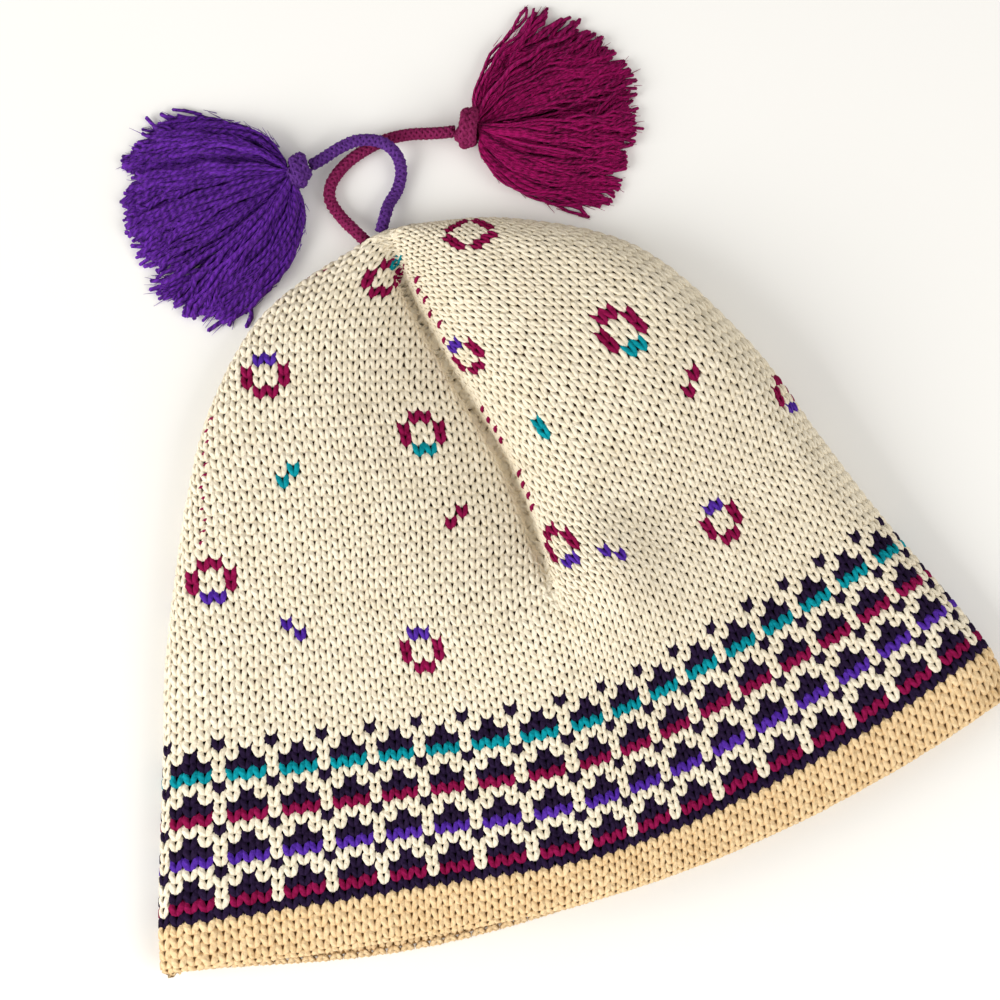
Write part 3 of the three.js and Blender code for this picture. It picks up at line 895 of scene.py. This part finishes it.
class StageSettings(bpy.types.PropertyGroup):
    """The camera and the light."""

    elevation: amount("Camera elevation", "Its angle above the table", math.radians(79), subtype="ANGLE")
    distance: amount("Camera distance", "To the middle of the picture", 0.62, unit="LENGTH")
    view_angle: amount("View angle", "Angle across the square picture", math.radians(25.8), subtype="ANGLE")
    left_power: amount("Left window", "Power of the soft light on the left", 19.0, subtype="POWER")
    right_power: amount("Right window", "Power of the soft light on the right", 9.5, subtype="POWER")
    fill: amount("Room light", "Strength of the even light from all round", 0.44)


# The middle of the picture, on the table
CAMERA_AIM = (-24, 25, 0)
# The table glows a little, painted light that lifts the shadows on it
TABLE_GLOW = 0.05
# Where the windows lie, as directions from the middle of the picture
LEFT_WINDOW = (-0.80, -0.38, 0.46)
RIGHT_WINDOW = (0.70, -0.42, 0.58)
# In metres: the nearest place that the camera sees, the table's side, and the windows' distance and size
NEAREST_SEEN = 0.01
TABLE_SIDE = 12.0
WINDOW_DISTANCE = 1.3
WINDOW_SIZE = (1.1, 0.9)


# Cords, knots and tassels


# Points that the curve has for each span of a route
SPAN_POINTS = 14
# The stretch of cord inside the crown heads for this point of the cord's line
ROUTE_AHEAD = 4


def smoothed_route(points):
    """A centripetal curve through the points, as the part's source draws it."""
    p = np.array(points, float)
    p = np.concatenate([[2 * p[0] - p[1]], p, [2 * p[-1] - p[-2]]])
    line = []
    for a, b, c, d in zip(p[:-3], p[1:-2], p[2:-1], p[3:]):
        ta, tb, tc = (np.linalg.norm(y - x) ** 0.5 for x, y in ((a, b), (b, c), (c, d)))
        m1 = ((b - a) / ta - (c - a) / (ta + tb) + (c - b) / tb) * tb
        m2 = ((c - b) / tb - (d - b) / (tb + tc) + (d - c) / tc) * tb
        u = (np.arange(SPAN_POINTS) / SPAN_POINTS)[:, None]
        start = (2 * u**3 - 3 * u**2 + 1) * b + (u**3 - 2 * u**2 + u) * m1
        line.append(start + (3 * u**2 - 2 * u**3) * c + (u**3 - u**2) * m2)
    return np.concatenate([*line, p[-2:-1]])


def evenly(line, step):
    """The same line with its points a step apart."""
    reached = reached_along(line)
    count = max(2, int(round(reached[-1] / step)) + 1)
    return points_at(line, reached, np.linspace(0, reached[-1], count))


def ahead_and_across(yarn):
    """The way in which the cord enters its knot and the tassel leaves it, and the way across that."""
    heading = math.radians(yarn["heading"])
    ahead = np.array([math.cos(heading), math.sin(heading), 0])
    return ahead, np.array([-ahead[1], ahead[0], 0])


def cord_line(yarn):
    ahead, _ = ahead_and_across(yarn)
    centre = np.array([*yarn["knot"], yarn["knot_radius"]])
    face = centre - ahead * (0.5 * KNOT_LENGTH + PIECE_GAP)
    return smoothed_route([*yarn["route"], face - ahead * CORD_APPROACH, face])


def frames_along(line):
    """Side and up directions carried along a line without twisting. No line starts straight up."""
    forward = unit(np.gradient(line, axis=0))
    side = np.empty_like(forward)
    carried = np.cross((0, 0, 1), forward[0])
    for i, ahead in enumerate(forward):
        carried = unit(carried - ahead * (carried @ ahead))
        side[i] = carried
    return side, np.cross(forward, side)


# The braid: strands each way round, length of a strand's turn, and sizes as shares of its thickness
BRAID_STRANDS = 4
BRAID_TURN = 7.0
BRAID_RADIUS_SHARE = 0.33
BRAID_OVER_SHARE = 0.05
STRAND_RADIUS_SHARE = 0.14
BRAID_CORE_SHARE = 0.31
BRAID_STEP = 0.55
BRAID_SIDES = 6
CORE_SIDES = 8
# The core needs only every second point of the line
CORE_STEP = 2


def lay_braid(piece, line, diameter):
    """A round braid along a line: strands wind both ways and pass over and under one another."""
    line = evenly(line, BRAID_STEP)
    side, up = frames_along(line)
    reached = reached_along(line)
    wave = np.cos(2 * BRAID_STRANDS * np.pi * reached / BRAID_TURN)
    paths = []
    for hand in (1, -1):
        radius = diameter * (BRAID_RADIUS_SHARE + hand * BRAID_OVER_SHARE * wave)[:, None]
        for k in range(BRAID_STRANDS):
            turn = 2 * np.pi * (hand * reached / BRAID_TURN + k / BRAID_STRANDS)[:, None]
            paths.append(line + radius * (side * np.cos(turn) + up * np.sin(turn)))
    radii = np.full((len(paths), len(line)), STRAND_RADIUS_SHARE * diameter)
    piece.tubes(np.array(paths), radii, BRAID_SIDES, up=up[None])
    core = line[None, ::CORE_STEP]
    core_radii = np.full(core.shape[:2], BRAID_CORE_SHARE * diameter)
    piece.tubes(core, core_radii, CORE_SIDES, up=up[None, ::CORE_STEP])


KNOT_TURNS = 2.6
KNOT_CORD = 3.8
KNOT_TILT = 0.33
KNOT_POINTS = 70
# The share of the swell by which a knot stands higher, and how much of its cord's width its run leaves
KNOT_LIFT = 0.8
KNOT_ENDS = 0.75
# The turns are full but near the ends of the run, and their first and last bit is left out
KNOT_FULLNESS = 1.25
KNOT_TRIM = 0.03


def knot_line(yarn):
    """Turns of cord wound round the cord's own axis, tilted so that they lie across the knot."""
    ahead, across = ahead_and_across(yarn)
    centre = np.array([*yarn["knot"], yarn["knot_radius"] + KNOT_LIFT * yarn["knot_swell"]])
    t = np.linspace(0, 1, KNOT_POINTS)
    turn = 2 * np.pi * KNOT_TURNS * t + yarn["seed"]
    shape = np.sqrt(np.sin(np.pi * np.clip(t, KNOT_TRIM, 1 - KNOT_TRIM)))
    radius = yarn["knot_radius"] - 0.5 * KNOT_CORD + yarn["knot_swell"]
    radius = radius * np.minimum(1, KNOT_FULLNESS * shape)
    aside, raised = radius * np.cos(turn), radius * np.sin(turn)
    run = (t - 0.5) * (KNOT_LENGTH - KNOT_ENDS * KNOT_CORD) + KNOT_TILT * aside
    parts = ((ahead, run), (across, aside), ((0, 0, 1), raised))
    return centre + sum(np.outer(distance, way) for way, distance in parts)


TASSEL_STRANDS = 430
STRAND_RINGS = 15
STRAND_SIDES = 3
STRAND_RADIUS = 0.68
STRAND_TONE = 0.9
# Locks of strands: how far their headings and bends spread in degrees, and what their lengths gain or lose
LOCK_COUNT = 30
LOCK_STRAY = 2.5
LOCK_BEND = 6.0
LOCK_REACH = (-0.01, 0.06)
LOCK_REACH_LIMITS = (-0.12, 0.05)
# The share of the strands that lie evenly beneath the locks, and their layer, from 0 below to 1 on top
UNDER_SHARE = 0.3
UNDER_LAYER = 0.15
LAYER_SPREAD = 0.12
# How far a strand's heading spreads in degrees, and the share of that which it has at its root
STRAND_STRAY = 3.4
ROOT_STRAY = 0.6
LONGEST = 1.02
LENGTH_SPREAD = 0.05
# Strands leave the knot this many degrees wide at the fan's edges, and bend round into a bell
BELL_SPREAD = 75
BELL_POWER = 1.3
BELL_LIMIT = 1.15
# Height of the tassel's top along its strands: share of the length and height
DOME = [(0, 6.4), (0.08, 8.2), (0.25, 9.4), (0.45, 8.8), (0.75, 6.4), (0.95, 4.0), (1.1, 2.4)]
# Height of the dome at the fan's edges as a share of its middle, and how soon it falls off
DOME_EDGE = 0.4
DOME_REACH = 0.9
DOME_LEAST = 0.1
DOME_CLEARANCE = 1.4
# A strand's waves: length and its spread, the spread of where they start, and size at the root and at the end
WAVE_LENGTH = (13.0, 2.0)
WAVE_START = 0.7
WAVE_SIZE = (0.15, 0.9)
WAVE_SIZES = (0.5, 1.4)
LIFT_SHARE = 0.6
LIFT_PACE = 1.3
# Where strands start on the knot's face: shares of its radius to the side, and upwards from the lowest layer
NECK_WIDTH = (0.3, 0.8)
NECK_LOW = 0.3
NECK_RISE = 1.5
# Between these shares of its length a strand comes down from the knot's face to its own layer
NECK_FALL = (-0.05, 0.2)
# A strand's own thickness, and how it swells along its length
STRAND_THICKNESS = (0.75, 1.2)
STRAND_SWELL = [(0, 0.7), (0.1, 1.0), (0.8, 1.1), (1.0, 1.0)]


def tassel_strands(yarn, rng):
    """Centre lines and radii of a tassel's strands. They leave the knot wide and bend round into a bell."""
    count = TASSEL_STRANDS
    headings, lengths = (np.array(x, float) for x in zip(*sorted(yarn["locks"])))
    low, high = yarn["ends"]
    ahead, across = ahead_and_across(yarn)
    root = np.array([*yarn["knot"], 0]) + ahead * TASSEL_ROOT
    lock_layer = (np.arange(LOCK_COUNT) + 0.5) / LOCK_COUNT
    lock_heading = rng.permutation(low + (high - low) * lock_layer) + rng.normal(0, LOCK_STRAY, LOCK_COUNT)
    lock_reach = 1.0 + np.clip(rng.normal(*LOCK_REACH, LOCK_COUNT), *LOCK_REACH_LIMITS)
    lock_bend = rng.normal(0, LOCK_BEND, LOCK_COUNT)
    lock_wave = rng.uniform(0, 2 * np.pi, LOCK_COUNT)
    lock = rng.integers(0, LOCK_COUNT, count)

    def each(values):
        return values[:, None]

    under = np.arange(count) < UNDER_SHARE * count
    toward = np.where(under, rng.uniform(low, high, count), lock_heading[lock])
    t = np.linspace(0, 1, STRAND_RINGS)[None, :]
    heading = each(toward) + each(rng.normal(0, STRAND_STRAY, count)) * (ROOT_STRAY + (1 - ROOT_STRAY) * t)
    length = np.interp(toward, headings, lengths) * lock_reach[lock]
    length = length * (LONGEST - np.abs(rng.normal(0, LENGTH_SPREAD, count)))
    off_middle = (heading - 0.5 * (low + high)) / (0.5 * (high - low))
    off_middle = np.clip(off_middle, -BELL_LIMIT, BELL_LIMIT)
    inside = np.clip(off_middle, -1, 1)
    angle = heading + BELL_SPREAD * off_middle * (1 - t) ** BELL_POWER + each(lock_bend[lock]) * t * t
    angle = np.radians(angle)
    run = t * each(length)
    layer = np.where(under, UNDER_LAYER, lock_layer[lock]) + rng.normal(0, LAYER_SPREAD, count)
    layer = each(np.clip(layer, 0, 1))
    edge = np.sqrt(np.clip(1 - (DOME_REACH * inside) ** 2, DOME_LEAST, 1))
    dome = np.interp(t, *zip(*DOME)) * (DOME_EDGE + (1 - DOME_EDGE) * edge)
    wave = 2 * np.pi * run / each(rng.normal(*WAVE_LENGTH, count)) + each(lock_wave[lock])
    wave = wave + each(rng.normal(0, WAVE_START, count))
    first_size, last_size = WAVE_SIZE
    size = (first_size + (last_size - first_size) * t) * each(rng.uniform(*WAVE_SIZES, count))
    sway = size * np.sin(wave)
    neck = (1 - t) ** 3
    side = yarn["knot_radius"] * inside * each(rng.uniform(*NECK_WIDTH, count)) * neck
    back = (TASSEL_ROOT - TASSEL_START) * neck
    x = root[0] + run * np.cos(angle) - sway * np.sin(angle) + side * across[0] - back * ahead[0]
    y = root[1] + run * np.sin(angle) + sway * np.cos(angle) + side * across[1] - back * ahead[1]
    z = STRAND_RADIUS + (dome - DOME_CLEARANCE) * layer + LIFT_SHARE * size * np.cos(LIFT_PACE * wave)
    start_height = yarn["knot_radius"] * (NECK_LOW + NECK_RISE * layer)
    z = np.maximum(STRAND_RADIUS, start_height + (z - start_height) * smoothstep(t, *NECK_FALL))
    thick = STRAND_RADIUS * each(rng.uniform(*STRAND_THICKNESS, count))
    return np.stack([x, y, z], axis=-1), thick * np.interp(t, *zip(*STRAND_SWELL))


# Loose fibres over the tassels: radius, drift and offset in millimetres, and lengths as shares of a strand's
WISPS = 5000
WISP_RINGS = 2
WISP_SIDES = 3
WISP_RADIUS = 0.16
WISP_DRIFT = 0.6
WISP_OFFSET = 0.75
WISP_SPANS = (0.04, 0.1)
# Where they start on a strand, from the cut end back
WISP_FIRST = 0.95
WISP_REACH = 0.85
WISP_TIP = 0.3
# Loose fibres lean to the lit colour, painted light on the fuzz
WISP_TONE = 3.0
WISP_TONE_SPREAD = 0.9


def wisps_of(paths, rng):
    """Centre lines and radii of the loose fibres that lie along a tassel's strands."""
    strand = rng.integers(0, len(paths), WISPS)[:, None]
    start = WISP_FIRST - WISP_REACH * rng.random(WISPS)[:, None]
    s = np.linspace(0, 1, WISP_RINGS)[None, :]
    t = (start + rng.uniform(*WISP_SPANS, WISPS)[:, None] * s) * (paths.shape[1] - 1)
    i = np.clip(t.astype(int), 0, paths.shape[1] - 2)
    u = (t - i)[..., None]
    line = paths[strand, i] * (1 - u) + paths[strand, i + 1] * u
    line = line + rng.normal(0, WISP_OFFSET, (WISPS, 1, 3))
    line = line + rng.normal(0, WISP_DRIFT, (WISPS, 1, 3)) * s[..., None]
    line[..., 2] = np.maximum(line[..., 2], WISP_RADIUS)
    return line, np.broadcast_to(WISP_RADIUS * (1 - (1 - WISP_TIP) * s), line.shape[:2])


# Operators


class TASSEL_HAT_OT_stage(bpy.types.Operator):
    """Sets the table, the soft light and the camera"""

    bl_idname = "tassel_hat.stage"
    bl_label = "Set the stage"

    def execute(self, context):
        settings = context.scene.tassel_hat_stage
        bpy.ops.mesh.primitive_plane_add(size=TABLE_SIDE, location=(0, 0, 0))
        table = context.active_object
        table.name = "table_top"
        material = bpy.data.materials.new("matt_white_table")
        material.use_nodes = True
        shader = material.node_tree.nodes["Principled BSDF"]
        shader.inputs["Base Color"].default_value = linear("#F1EFEA")
        shader.inputs["Roughness"].default_value = 0.75
        # The glow is painted light that lifts the table's shadows
        shader.inputs["Emission Color"].default_value = linear("#FFFFFF")
        shader.inputs["Emission Strength"].default_value = TABLE_GLOW
        table.data.materials.append(material)
        aim = np.array(CAMERA_AIM) * MM
        bpy.ops.object.camera_add(
            location=(
                aim[0],
                aim[1] - settings.distance * math.cos(settings.elevation),
                settings.distance * math.sin(settings.elevation),
            ),
            rotation=(math.pi / 2 - settings.elevation, 0, 0),
        )
        camera = context.active_object
        camera.name = "photo_camera"
        camera.data.sensor_fit = "HORIZONTAL"
        camera.data.angle = settings.view_angle
        camera.data.clip_start = NEAREST_SEEN
        context.scene.camera = camera
        for name, away, power in (
            ("left_window", LEFT_WINDOW, settings.left_power),
            ("right_window", RIGHT_WINDOW, settings.right_power),
        ):
            bpy.ops.object.light_add(type="AREA", location=aim + WINDOW_DISTANCE * np.array(away))
            window = context.active_object
            window.name = name
            window.data.shape = "RECTANGLE"
            window.data.size, window.data.size_y = WINDOW_SIZE
            window.data.energy = power
            tilt = math.atan2(math.hypot(away[0], away[1]), away[2])
            window.rotation_euler = (tilt, 0, math.atan2(away[1], away[0]) + math.pi / 2)
        world = bpy.data.worlds.new("soft_room")
        world.use_nodes = True
        world.node_tree.nodes["Background"].inputs["Color"].default_value = linear("#FFFDFA")
        world.node_tree.nodes["Background"].inputs["Strength"].default_value = settings.fill
        context.scene.world = world
        context.scene.view_settings.view_transform = "Standard"
        return {"FINISHED"}


class TASSEL_HAT_OT_cords(bpy.types.Operator):
    """Braids both cords, ties their knots and fixes them in the crown"""

    bl_idname = "tassel_hat.cords"
    bl_label = "Braid the cords"

    def execute(self, context):
        for yarn in (PURPLE_SET, PLUM_SET):
            name = yarn["name"]
            slot = f"{name}_yarn"
            material = finish(f"{name}_cord")
            line = cord_line(yarn)
            braid = Piece(f"{name}_braid")
            lay_braid(braid, line, CORD_DIAMETER)
            cord = braid.make([material], slot, f"{name}_cord")
            tied = Piece(f"{name}_tied_knot")
            lay_braid(tied, knot_line(yarn), KNOT_CORD)
            knot = tied.make([material], slot, f"{name}_knot")
            sewn = Piece(f"{name}_cord_root")
            sewn_line = smoothed_route([yarn["root"], line[0], line[ROUTE_AHEAD]])
            lay_braid(sewn, sewn_line[: SPAN_POINTS + 1], CORD_DIAMETER)
            sewn.make([material], slot, f"{name}_cord")
        return {"FINISHED"}


class TASSEL_HAT_OT_tassels(bpy.types.Operator):
    """Fans the cut yarn of both tassels"""

    bl_idname = "tassel_hat.tassels"
    bl_label = "Cut the tassels"

    def execute(self, context):
        for yarn in (PURPLE_SET, PLUM_SET):
            rng = np.random.default_rng(yarn["seed"])
            name = yarn["name"]
            fluff = Piece(f"{name}_fluff")
            paths, radii = tassel_strands(yarn, rng)
            fluff.tubes(paths, radii, STRAND_SIDES, tone=rng.normal(0, STRAND_TONE, len(paths)))
            wisps, wisp_radii = wisps_of(paths, rng)
            tones = rng.normal(WISP_TONE, WISP_TONE_SPREAD, WISPS)
            fluff.tubes(wisps, wisp_radii, WISP_SIDES, tone=tones)
            fluff.make([finish(f"{name}_fluff")], f"{name}_yarn", f"{name}_tassel")
        return {"FINISHED"}


# Rows of stitches. The hem's run from its top down, round its edge and up the inside.
CROWN_ROWS = range(22, LAST_KNITTED_ROW + 1)
BAND_ROWS = range(5, 22)
HEM_LAST_ROW = HEM_TURN_ROWS - HEM_ROUND_ROWS - HEM_INSIDE_ROWS + 1
HEM_ROWS = range(4, int(HEM_LAST_ROW), -1)
# Seeds for how the stitches of a piece stray, to which the piece's first gore is added
CROWN_SEED, BAND_SEED, HEM_SEED = 10, 20, 30
# Depths of the wall painted in shade and of the hem's core below the cloth
WALL_DEPTH = 2.0
CORE_DEPTH = 2.0
CORE_ROW_STEP = 0.5
# The core stays this far inside the hem's lower edge
CORE_MARGIN = 2.0
WALL_STEPS_PER_GORE = 34


def knit(cloth, rows, colour, seed, finishes, slot, node, pieces):
    """The stitches of a band of rows, as pieces of name, gores, leg and sides."""
    for name, gores, leg, sides in pieces:
        piece = Piece(name)
        rng = np.random.default_rng(seed + gores[0])
        lay_stitches(piece, cloth, stitches_of(gores, rows, colour), leg, sides, rng)
        if name in FLOATS:
            lay_floats(piece, cloth, *FLOATS[name])
        piece.make(finishes, slot, node)


def round_the_hat(cloth, rows, depth):
    """Rings of points round the hat, one for each row, this far below the cloth."""
    columns = np.arange(GORES * WALL_STEPS_PER_GORE) / WALL_STEPS_PER_GORE
    rows, columns = np.meshgrid(rows, columns, indexing="ij")
    return cloth.at(rows, columns, np.full(rows.shape, -depth))


def lay_wall(name, cloth, rows, finishes, slot, node):
    """The wall behind the stitches, a closed shell whose outside is painted in the dark colour of floats in
    shade. Its inside is the lining.
    """
    outside, inside = (round_the_hat(cloth, rows, depth) for depth in (WALL_DEPTH, KNIT_WALL))
    piece = Piece(name)
    piece.skin(np.concatenate([outside, inside[::-1]]), finish=np.repeat([0, 1], len(rows)))
    piece.make(finishes, slot, node)


class TASSEL_HAT_OT_crown(bpy.types.Operator):
    """Knits the crown's four gores"""

    bl_idname = "tassel_hat.crown"
    bl_label = "Knit the crown"

    def execute(self, context):
        cloth = outer_cloth()
        place = ("cream_knit", "crown")
        pieces = (
            ("crown_left_front", (0,), LEG, FRONT_SIDES),
            ("crown_right_front", (1,), LEG, FRONT_SIDES),
            ("crown_back", (2, 3), BACK_LEG, BACK_SIDES),
        )
        knit(cloth, CROWN_ROWS, crown_yarn, CROWN_SEED, yarn_finishes(), *place, pieces)
        rows = np.arange(BAND_TOP_ROW, TIP_ROW, 1.0)
        lay_wall("crown_wall", cloth, rows, [finish("backing"), finish("lining")], *place)
        return {"FINISHED"}


class TASSEL_HAT_OT_band(bpy.types.Operator):
    """Knits the patterned band"""

    bl_idname = "tassel_hat.band"
    bl_label = "Knit the band"

    def execute(self, context):
        cloth = outer_cloth()
        place = ("navy_knit", "patterned_band")
        pieces = (
            ("band_front", (0, 1), LEG, FRONT_SIDES),
            ("band_back", (2, 3), BACK_LEG, BACK_SIDES),
        )
        knit(cloth, BAND_ROWS, band_yarn, BAND_SEED, yarn_finishes(), *place, pieces)
        rows = np.arange(HEM_TOP_ROW, BAND_TOP_ROW + 0.5, 1.0)
        lay_wall("band_wall", cloth, rows, [finish("dark_backing"), finish("lining")], *place)
        return {"FINISHED"}


class TASSEL_HAT_OT_hem(bpy.types.Operator):
    """Knits the hem and turns it under"""

    bl_idname = "tassel_hat.hem"
    bl_label = "Knit the hem"

    def execute(self, context):
        cloth = hem_cloth(outer_cloth())
        place = ("cream_hem", "hem_band")
        pieces = (
            ("hem_front", (0, 1), HEM_LEG, FRONT_SIDES),
            ("hem_back", (2, 3), BACK_LEG, BACK_SIDES),
        )
        knit(cloth, HEM_ROWS, hem_yarn, HEM_SEED, [finish("hem")], *place, pieces)
        rows = np.arange(HEM_TOP_ROW, HEM_LAST_ROW, -CORE_ROW_STEP)
        rings = round_the_hat(cloth, rows, CORE_DEPTH)
        edge = round_the_hat(cloth, rows, 0)[..., 1].min(axis=0)
        rings[..., 1] = np.maximum(rings[..., 1], edge + CORE_MARGIN)
        # The core is the hem's yarn darkened, painted shade inside the folded hem
        core = Piece("hem_core")
        core.skin(rings[::-1])
        core.make([finish("hem_backing")], *place)
        return {"FINISHED"}


class TASSEL_HAT_PT_panel(bpy.types.Panel):
    """Lists the hat's operators and settings"""

    bl_label = "Tassel hat"
    bl_idname = "TASSEL_HAT_PT_panel"
    bl_space_type = "VIEW_3D"
    bl_region_type = "UI"
    bl_category = "Hat"

    def draw(self, context):
        for group in (context.scene.tassel_hat_stage, context.scene.tassel_hat_yarns):
            for name in group.__annotations__:
                self.layout.prop(group, name)
        for operator in OPERATORS:
            self.layout.operator(operator.bl_idname)


OPERATORS = (
    TASSEL_HAT_OT_stage,
    TASSEL_HAT_OT_tassels,
    TASSEL_HAT_OT_cords,
    TASSEL_HAT_OT_crown,
    TASSEL_HAT_OT_band,
    TASSEL_HAT_OT_hem,
)
CLASSES = (YarnSettings, StageSettings, *OPERATORS, TASSEL_HAT_PT_panel)


def register():
    for kind in CLASSES:
        bpy.utils.register_class(kind)
    bpy.types.Scene.tassel_hat_yarns = PointerProperty(type=YarnSettings)
    bpy.types.Scene.tassel_hat_stage = PointerProperty(type=StageSettings)


def unregister():
    del bpy.types.Scene.tassel_hat_stage
    del bpy.types.Scene.tassel_hat_yarns
    for kind in reversed(CLASSES):
        bpy.utils.unregister_class(kind)


def main():
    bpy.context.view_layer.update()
    bpy.ops.object.select_all(action="DESELECT")
    register()
    bpy.ops.tassel_hat.stage()
    bpy.ops.tassel_hat.tassels()
    bpy.ops.tassel_hat.cords()
    bpy.ops.tassel_hat.crown()
    bpy.ops.tassel_hat.band()
    bpy.ops.tassel_hat.hem()


if __name__ == "__main__":
    main()
